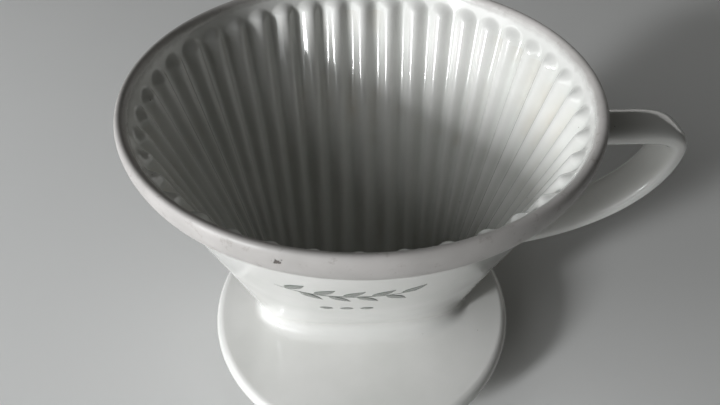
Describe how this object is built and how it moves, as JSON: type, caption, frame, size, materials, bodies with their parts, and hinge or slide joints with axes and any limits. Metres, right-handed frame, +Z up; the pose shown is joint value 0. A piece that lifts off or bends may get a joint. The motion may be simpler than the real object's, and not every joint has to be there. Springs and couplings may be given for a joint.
{
  "type": "pour over dripper",
  "caption": "White porcelain pour-over coffee dripper: ribbed wedge funnel, rolled rim, strap handle and saucer flange with a locating ring",
  "frame": {"origin": "bottom centre of the bounding box, on the surface that the locating ring stands on; the funnel's own axis is 15.4 mm towards -X", "axes": "+Z up; +X from the funnel towards the handle, along the slot in the funnel's floor"},
  "size_m": [0.1508, 0.12, 0.11],
  "materials": {
    "white_glaze": "polished",
    "bare_rim": "satin",
    "printed_mark": "satin"
  },
  "bodies": {
    "root": {"funnel_wall": "white_glaze", "rim_bead": "bare_rim", "handle": "white_glaze", "saucer_flange": "white_glaze", "locating_ring": "white_glaze"}
  },
  "joints": []
}
